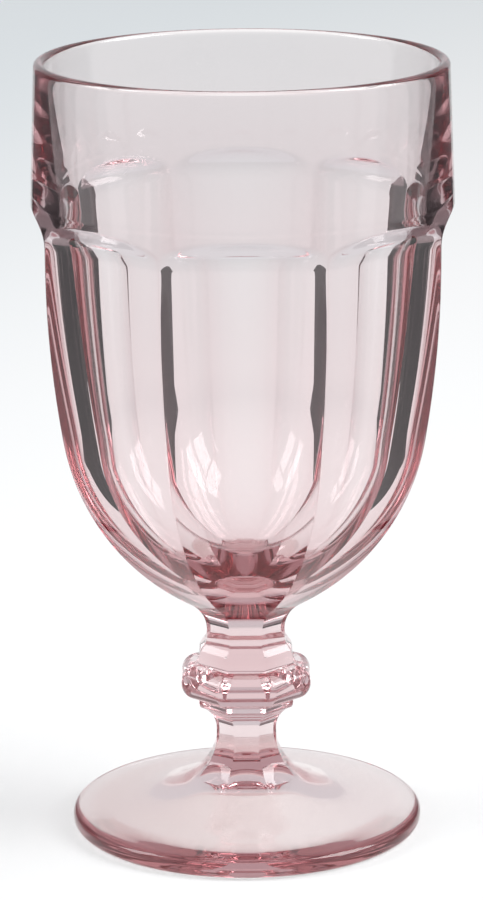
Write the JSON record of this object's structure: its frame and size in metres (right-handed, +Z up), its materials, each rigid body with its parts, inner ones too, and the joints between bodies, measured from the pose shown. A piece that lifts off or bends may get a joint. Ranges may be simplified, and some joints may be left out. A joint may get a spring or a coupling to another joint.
{
  "type": "iced tea glass",
  "caption": "Stemmed iced tea glass in pale pink pressed glass: deep bowl with arched flat panels under a plain band, octagonal knopped stem, round foot.",
  "frame": {"origin": "middle of the ring that the foot stands on, on the table", "axes": "+Z up along the axis of the glass, one flat panel of the bowl facing -Y"},
  "size_m": [0.093, 0.093, 0.1751],
  "materials": {
    "pink_glass": "clear pressed glass with a pale dusty pink tint, fire polished to a full gloss"
  },
  "bodies": {
    "root": {"bowl": "pink_glass", "stem": "pink_glass", "foot": "pink_glass"}
  },
  "joints": []
}
